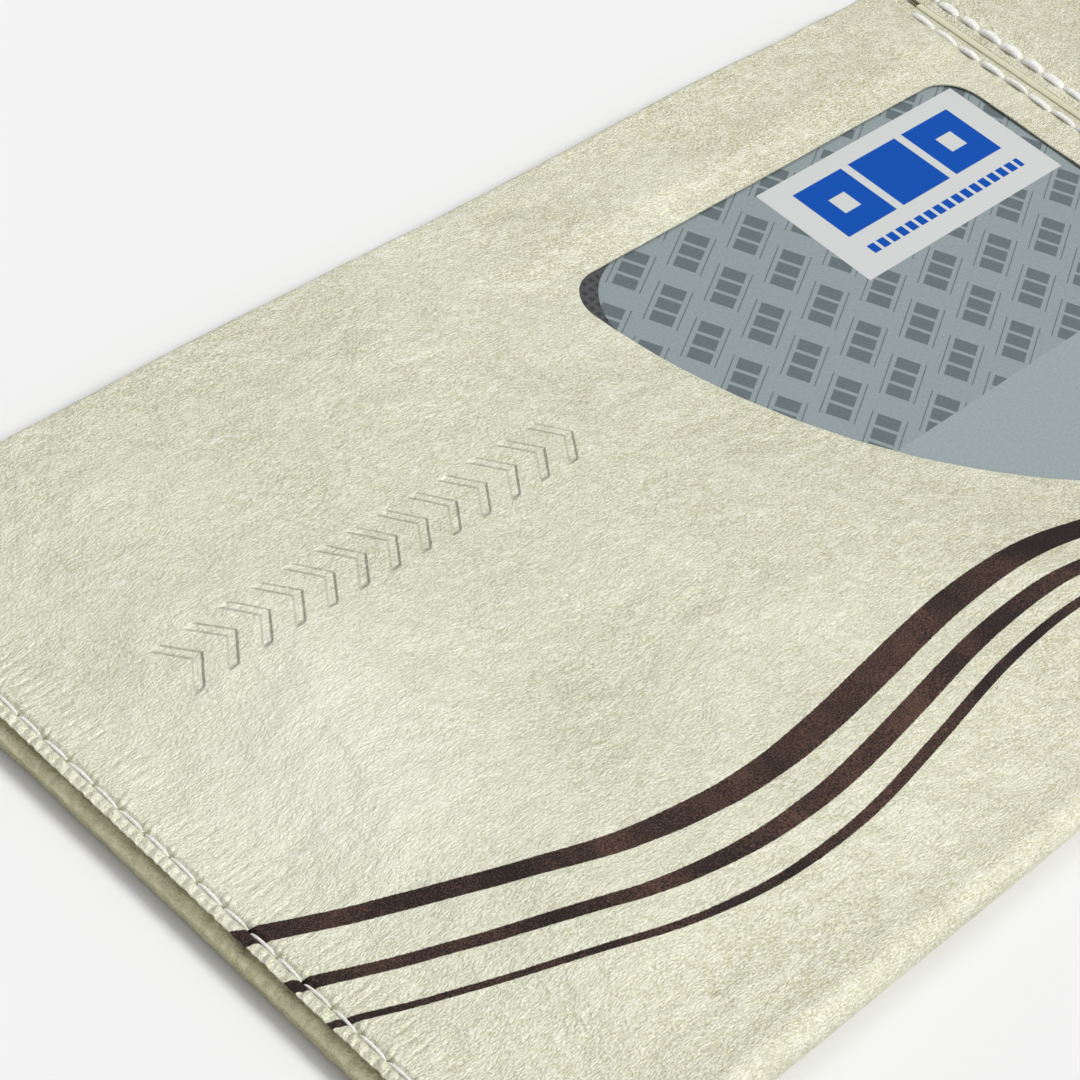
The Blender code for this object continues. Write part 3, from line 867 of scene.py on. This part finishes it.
def make_right_front(material):
    line = front_line(PANEL_TOP)
    near = node_box("plain_panel")[0][1]
    end = line.front + line.front_y - near
    mouth = line.front + FAR - SLOT_MOUTH
    return make_right_side("right_pocket_front", line, [
        (0, line.front - 0.9, 0.9), (line.front - 0.9, line.front + 0.4, 0.1),
        (line.front + 0.4, mouth, 0.28), (mouth, end, 1.2)], material)


def make_slot(material):
    line = front_line(SLOT_TOP, SLOT_MOUTH)
    return make_right_side("stepped_slot_front", line, [
        (0, line.front_end - 1.0, 0.28), (line.front_end - 1.0, line.fold_end, 0.25),
        (line.fold_end, line.length, 0.5)], material)


def cover_shape(y, x, z, nx, nz):
    """Soft waves in the hems, and grooves under the seams."""
    hem = ease(np.abs(x), HALF_LENGTH - 4.0, HALF_LENGTH - 0.6)
    uneven = 0.04 * waves(x + z, y, 7, 31) + 0.05 * waves(1.5 * (x + z), y, 1.6, 33)
    rise = hem * (uneven - 0.06 + 0.28 * np.abs(nx))
    under = np.clip(-nz, 0, 1)
    for row in (-EDGE_ROW, -SPINE_ROW, SPINE_ROW, EDGE_ROW):
        rise -= 0.14 * under * hump(x, row, 0.5)
    return np.where(under > 0.9, np.minimum(rise, 0), rise)


def hem_turn(line):
    """Half turn of the cover's hem: two rounded shoulders with a short wall between them."""
    radius = BAND_SHOULDER - SHEET_T / 2
    line.turn(90, radius)
    line.run(BAND_TOP - 2 * BAND_SHOULDER)
    line.turn(90, radius)


def make_cover(material):
    fold_from = HALF_LENGTH - BAND_SHOULDER
    line = FoldLine(-(fold_from - COVER_HEM), BAND_TOP - SHEET_T / 2, 180)
    line.run(COVER_HEM)
    leaf = line.length
    hem_turn(line)
    fold = line.length
    line.run(2 * fold_from)
    across = line.length
    hem_turn(line)
    fold_back = line.length
    line.run(COVER_HEM)
    middle = (fold + across) / 2
    ss = graded([(0, leaf, 0.8), (leaf, fold, 0.12), (fold, fold + 2, 0.2), (fold + 2, middle - 6, 1.5),
                 (middle - 6, middle + 6, 0.3), (middle + 6, across - 2, 1.5), (across - 2, across, 0.2),
                 (across, fold_back, 0.12), (fold_back, line.length, 0.8)])
    ys = graded([(COVER_NEAR + 0.03, COVER_FAR, 0.35)])
    return sheet_object("outer_cover", plan_mesh(grid_points(ys, ss)), line, cover_shape, material, "XZ")


def flat_sheet(name, low, high, thickness, shape, material, holes=()):
    """Flat inner sheet between two corners, on the lower one's level."""
    (x0, y0, z), (x1, y1, _) = low, high
    line = FoldLine(y1, z + thickness / 2, 180)
    line.run(y1 - y0)
    crosses = [(x0, -4, 1.2), (-4, 4, 0.08), (4, x1, 1.2)]
    xs = graded(crosses if x0 < -4 and x1 > 4 else [(x0, x1, 1.0)])
    for hole in holes:
        hole[:, 1] = y1 - hole[:, 1]
    cut = plan_mesh(grid_points(xs, graded([(0, y1 - y0, 1.0)])), holes=holes)
    return sheet_object(name, cut, line, shape, material, thickness=thickness)


def back_shield_shape(x, y, z, ny, nz):
    """The two rows of stitches draw the back shield up at the crease."""
    return 0.15 * (1 - ease(np.abs(x), 0.2, 2.3)) * ease(y, NEAR, NEAR + 6)


def lining_shape(x, y, z, ny, nz):
    """Lining between the two rows: a narrow ridge that is pushed up into the gap of the fronts."""
    off = np.abs(x)
    under = 0.60 * (1 - ease(off, 0.5, 2.3)) * (1 - 0.35 * ease(y, 22.0, 24.0))
    crown = (1 - ease(off, 0.34, 0.40)) * (1 - 0.05 * (off / 0.34) ** 2)
    return (PANEL_TOP - RIDGE_BELOW - lining_high[2]) * np.maximum(under, crown) * ease(y, NEAR, NEAR + 6)


def left_shield_shape(x, y, z, ny, nz):
    """The shield lies against the left front, and on the card round the window."""
    below = PANEL_TOP - SHEET_T - SHIELD_GAP - THIN_SHIELD_T - front_shield_low[2]
    return np.maximum(left_lift(x, y) + below, CARD_TOP + RIM_GAP - front_shield_low[2])


def right_shield_shape(x, y, z, ny, nz):
    return right_lift(x, y) + PANEL_TOP - SHEET_T - SHIELD_GAP - THIN_SHIELD_T - right_shield_low[2]


def make_card(material):
    """Card with rounded corners and softened edges."""
    (x0, y0, z0), (x1, y1, z1) = card_low, card_high
    x0, y0, x1, y1 = x0 + CARD_CORNER, y0 + CARD_CORNER, x1 - CARD_CORNER, y1 - CARD_CORNER
    outline = np.vstack([arc_points(x, y, CARD_CORNER, start, start + 90, 16) for x, y, start in (
        (x1, y1, 0), (x0, y1, 90), (x0, y0, 180), (x1, y0, 270))])
    bm = bmesh.new()
    face = bm.faces.new([bm.verts.new((px * MM, py * MM, z0 * MM)) for px, py in outline])
    swept = bmesh.ops.extrude_face_region(bm, geom=[face])
    moved = [item for item in swept["geom"] if isinstance(item, bmesh.types.BMVert)]
    bmesh.ops.translate(bm, verts=moved, vec=(0, 0, (z1 - z0) * MM))
    rims = [e for e in bm.edges if abs(e.verts[0].co.z - e.verts[1].co.z) < 1e-7]
    bmesh.ops.bevel(bm, geom=rims, offset=0.12 * MM, segments=3, affect="EDGES", profile=0.5)
    bmesh.ops.recalc_face_normals(bm, faces=bm.faces)
    mesh = bpy.data.meshes.new("payment_card")
    bm.to_mesh(mesh)
    bm.free()
    mesh.shade_smooth()
    mesh.set_sharp_from_angle(angle=math.radians(30))
    mesh.materials.append(material)
    return placed("payment_card", mesh)


def stitch_tree():
    """Geometry Nodes tree: a row of sewn stitches that lies on a sheet."""
    tree = bpy.data.node_groups.new("row_of_stitches", "GeometryNodeTree")
    add = node_adder(tree)
    tree.interface.new_socket("Geometry", in_out="OUTPUT", socket_type="NodeSocketGeometry")
    for kind, names in (("Vector", ("First", "Step", "Ray")), ("Int", ("Count", "Seed")), ("Object", ("Sheet",)),
                        ("Float", ("Length", "Width", "Height", "Sink", "Uneven")), ("Material", ("Thread",))):
        for name in names:
            tree.interface.new_socket(name, in_out="INPUT", socket_type=f"NodeSocket{kind}")
    given = add("NodeGroupInput", out=None)
    line = add("GeometryNodeMeshLine", {"Count": given["Count"], "Start Location": given["First"],
                                        "Offset": given["Step"]}, mode="OFFSET")
    sheet = add("GeometryNodeObjectInfo", {"Object": given["Sheet"]}, out=4)
    ray = add("GeometryNodeRaycast", {"Target Geometry": sheet, "Ray Direction": given["Ray"],
                                      "Ray Length": 0.02}, out=None)
    missed = add("FunctionNodeBooleanMath", [ray["Is Hit"]], "NOT")
    seated = add("GeometryNodeSetPosition", {"Geometry": line, "Position": ray["Hit Position"]})
    seated = add("GeometryNodeDeleteGeometry", {"Geometry": seated, "Selection": missed})
    # One stitch: an arch of thread, fuller in its middle
    points = [add("CombineXYZ", {"Y": add("Math", [given["Length"], along], "MULTIPLY"),
                                 "Z": add("Math", [given[level], share], "MULTIPLY")})
              for along, level, share in ((-0.5, "Sink", -1.0), (-0.4, "Height", 0.75),
                                          (0.4, "Height", 0.75), (0.5, "Sink", -1.0))]
    curve = add("GeometryNodeCurvePrimitiveBezierSegment", [8] + points, mode="POSITION")
    curve = add("GeometryNodeResampleCurve", {"Curve": curve, "Count": 9}, mode="COUNT")
    arch = add("Math", [add("GeometryNodeSplineParameter"), math.pi], "MULTIPLY")
    arch = add("Math", [add("Math", [arch], "SINE"), 0.001], "MAXIMUM")
    fullness = add("Math", [arch, 0.25], "POWER")
    fullness = add("Math", [fullness, 0.45, 0.55], "MULTIPLY_ADD")
    ring = add("GeometryNodeCurvePrimitiveCircle", {"Resolution": 8, "Radius": 0.5}, mode="RADIUS")
    flat = add("CombineXYZ", [given["Width"], given["Height"], 1.0])
    ring = add("GeometryNodeTransform", {"Geometry": ring, "Scale": flat})
    stitch = add("GeometryNodeCurveToMesh", {"Curve": curve, "Profile Curve": ring, "Scale": fullness,
                                             "Fill Caps": True})
    turned = add("FunctionNodeRandomValue", {0: (0, 0, -0.06), 1: (0, 0, 0.06), "Seed": given["Seed"]},
                 data_type="FLOAT_VECTOR")
    sizes = []
    for operation, length in (("SUBTRACT", 0.93), ("ADD", 1.04)):
        share = add("Math", [1.0, given["Uneven"]], operation)
        sizes.append(add("CombineXYZ", [share, length, share]))
    sized = add("FunctionNodeRandomValue", {0: sizes[0], 1: sizes[1], "Seed": given["Seed"]},
                data_type="FLOAT_VECTOR")
    row = add("GeometryNodeInstanceOnPoints", {"Points": seated, "Instance": stitch, "Rotation": turned,
                                               "Scale": sized})
    row = add("GeometryNodeRealizeInstances", [row])
    row = add("GeometryNodeSetShadeSmooth", [row])
    row = add("GeometryNodeSetMaterial", {"Geometry": row, "Material": given["Thread"]})
    tree.links.new(row, tree.nodes.new("NodeGroupOutput").inputs[0])
    return tree


def stitch_row(tree, x, seam, sheet, thread, width, height, seed, under=False, share=0.8,
               span=(NEAR, FAR), uneven=0.08):
    """Mesh of one row of stitches on top of a sheet or under it."""
    first, pitch = seam
    low, high = span[0] + SEAM_END, span[1] - SEAM_END
    start = first + pitch / 2 - pitch * math.floor((first + pitch / 2 - low) / pitch)
    if start - pitch / 2 < low:
        start += pitch
    count = int((high - start - pitch / 2) / pitch) + 1
    row = placed("row", bpy.data.meshes.new("row"))
    modifier = row.modifiers.new("stitches", "NODES")
    modifier.node_group = tree
    level = -1.0 if under else SLOT_TOP + 1.0
    values = {"First": (x * MM, start * MM, level * MM), "Step": (0.0, pitch * MM, 0.0), "Count": count,
              "Length": share * pitch * MM, "Width": width * MM, "Height": height * MM,
              "Ray": (0.0, 0.0, 1.0 if under else -1.0), "Sink": 0.05 * MM, "Uneven": uneven,
              "Seed": seed, "Sheet": sheet, "Thread": thread}
    for item in tree.interface.items_tree:
        if item.name in values and item.in_out == "INPUT":
            modifier[item.identifier] = values[item.name]
    bpy.context.view_layer.update()
    graph = bpy.context.evaluated_depsgraph_get()
    made = bpy.data.meshes.new_from_object(row.evaluated_get(graph))
    bpy.data.objects.remove(row)
    return made


def join_rows(name, rows, materials):
    """One object from the meshes of several rows, which keep their threads."""
    names = [material.name for material in materials]
    bm = bmesh.new()
    for mesh in rows:
        done = len(bm.faces)
        bm.from_mesh(mesh)
        bm.faces.ensure_lookup_table()
        thread = next(material for material in mesh.materials if material)
        for face in bm.faces[done:]:
            face.material_index = names.index(thread.name)
    bmesh.ops.recalc_face_normals(bm, faces=bm.faces)
    mesh = bpy.data.meshes.new(name)
    bm.to_mesh(mesh)
    bm.free()
    mesh.shade_smooth()
    mesh.materials.clear()
    for material in materials:
        mesh.materials.append(material)
    return placed(name, mesh)


def direction(azimuth, elevation):
    """Unit vector at an angle from X about Z and a rise, both in degrees."""
    azimuth, elevation = math.radians(azimuth), math.radians(elevation)
    return Vector((math.cos(azimuth) * math.cos(elevation), math.sin(azimuth) * math.cos(elevation),
                   math.sin(elevation)))


def make_camera():
    back = direction(CAMERA_AZIMUTH - 90, CAMERA_ELEVATION)
    roll = math.radians(CAMERA_ROLL)
    right = Vector((0, 0, 1)).cross(back).normalized()
    up = back.cross(right)
    side = math.cos(roll) * right - math.sin(roll) * up
    top = math.sin(roll) * right + math.cos(roll) * up
    data = bpy.data.cameras.new("camera")
    data.lens, data.sensor_width, data.clip_start = CAMERA_LENS, 36, 0.01
    camera = placed("camera", data)
    turn = Matrix((side, top, back)).transposed().to_4x4()
    camera.matrix_world = Matrix.Translation(Vector(CAMERA_AT) * MM) @ turn
    bpy.context.scene.camera = camera


def make_sun(name, energy, spread, azimuth, elevation):
    data = bpy.data.lights.new(name, "SUN")
    data.energy, data.angle = energy, math.radians(spread)
    light = placed(name, data)
    light.rotation_mode = "QUATERNION"
    light.rotation_quaternion = direction(azimuth, elevation).to_track_quat("Z", "Y")


def make_light():
    """Main softbox over the near right, two wide ones behind and at the left, and an even surround."""
    make_sun("main_softbox", 1.88, 14, -50, 46)
    make_sun("back_softbox", 0.54, 40, 40, 56)
    make_sun("left_fill", 0.22, 60, 200, 32)
    world = bpy.data.worlds.new("surround")
    bpy.context.scene.world = world
    world.use_nodes = True
    background = world.node_tree.nodes["Background"]
    background.inputs["Color"].default_value = (1.0, 1.0, 1.0, 1.0)
    background.inputs["Strength"].default_value = 0.39


def make_table(material):
    """Table top of 6 by 6 m, a hair under the wallet."""
    mesh = bpy.data.meshes.new("table_top")
    corners = ((-1, -1), (1, -1), (1, 1), (-1, 1))
    mesh.from_pydata([(3.0 * x, 3.0 * y, -0.03 * MM) for x, y in corners], [], [(0, 1, 2, 3)])
    mesh.materials.append(material)
    placed("table_top", mesh)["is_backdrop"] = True


def main():
    make_camera()
    make_light()
    make_table(table_material())
    # The cover's sheet is a darker, more olive copy of the fronts' sheet: painted shade on the hem's band, which
    # faces away from the lamps
    outer = sheet_material("outer_sheet_painted_light", "#A39E72", "#C6C29B", "#DFDCBC", painted_hem_light=True)
    sheet = sheet_material("spunbonded_sheet", "#B1AE82", "#D3D1B2", "#FBFAEC")
    printed = sheet_material("printed_spunbonded_sheet", "#B1AE82", "#D3D1B2", "#FBFAEC", printed=True)
    lining, shield = lining_material(), shield_material()
    thread = thread_material("white_polyester_thread", "#E8E7DE", "#FFFFFC")
    # The edge seams' thread is the same white thread painted darker and creamier: painted shade
    edge_thread = thread_material("white_thread_painted_shade", "#BDBA9C", "#ECE9D4")

    cover = make_cover(outer)
    left = make_left_front(printed)
    right = make_right_front(sheet)
    slot = make_slot(sheet)
    back = flat_sheet("pocket_lining", lining_low, (LINING_END, lining_high[1], 0), LINING_T,
                      lining_shape, lining)
    back_shield = flat_sheet("back_shield", (-LINING_END, *shield_low[1:]), (LINING_END, shield_high[1], 0),
                             SHIELD_T, back_shield_shape, shield)
    left_shield = flat_sheet("left_front_shield", front_shield_low, front_shield_high, THIN_SHIELD_T,
                             left_shield_shape, shield, holes=[quarter_window(TIP_CORNER, 0.2)])
    right_shield = flat_sheet("right_front_shield", right_shield_low, right_shield_high, THIN_SHIELD_T,
                              right_shield_shape, shield)
    card = make_card(card_material())

    tree = stitch_tree()

    def edge_row(x, sheet, seed, span=(NEAR, FAR)):
        return stitch_row(tree, x, EDGE_SEAM, sheet, edge_thread, EDGE_THREAD_W, 0.2, seed, share=0.9,
                          span=span)

    def under_row(x, seam, seed):
        return stitch_row(tree, x, seam, cover, edge_thread, EDGE_THREAD_W, 0.1, seed, under=True)

    upper, lower = (SLOT_MOUTH, FAR), (NEAR, SLOT_MOUTH)
    left_rows = [
        edge_row(-EDGE_ROW, left, 1),
        stitch_row(tree, -SPINE_ROW, LEFT_SPINE_SEAM, left, thread, THREAD_W, THREAD_H, 2, share=0.92,
                   uneven=0.16),
        under_row(-EDGE_ROW, EDGE_SEAM, 3),
        under_row(-SPINE_ROW, LEFT_SPINE_SEAM, 4),
    ]
    right_rows = [
        edge_row(EDGE_ROW, right, 5, upper),
        edge_row(EDGE_ROW, slot, 6, lower),
        stitch_row(tree, SPINE_ROW, RIGHT_SPINE_SEAM, right, thread, 1.3 * THREAD_W, 1.2 * THREAD_H, 7,
                   share=0.90, span=upper, uneven=0.28),
        stitch_row(tree, SPINE_ROW, RIGHT_SPINE_SEAM, slot, thread, THREAD_W, THREAD_H, 8, share=0.78,
                   span=lower),
        under_row(EDGE_ROW, EDGE_SEAM, 9),
        under_row(SPINE_ROW, RIGHT_SPINE_SEAM, 10),
    ]
    left_stitches = join_rows("left_stitches", left_rows, [thread, edge_thread])
    right_stitches = join_rows("right_stitches", right_rows, [thread, edge_thread])

    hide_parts("outer_cover_left", "outer_cover_spine", "outer_cover_right")
    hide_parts("window_panel")
    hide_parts("plain_panel")
    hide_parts("slot_front")
    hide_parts("pocket_back_left", "pocket_back_spine", "pocket_back_right")
    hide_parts("shield_back_left", "shield_spine", "shield_back_right")
    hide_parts("shield_front_left")
    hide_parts("shield_front_right")
    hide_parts("pocket_card")
    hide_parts("edge_thread_left", "spine_thread_left")
    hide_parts("edge_thread_right", "spine_thread_right")

    for piece in (left, left_shield, left_stitches):
        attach(piece, "left_half")
    for piece in (right, slot, right_shield, right_stitches):
        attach(piece, "right_half")
    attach(card, "card")
    for piece in (cover, back, back_shield):
        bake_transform(piece)


main()
bpy.context.scene.view_settings.view_transform = "Standard"
[[list(corner) for corner in box] for box in (cad_box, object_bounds())]
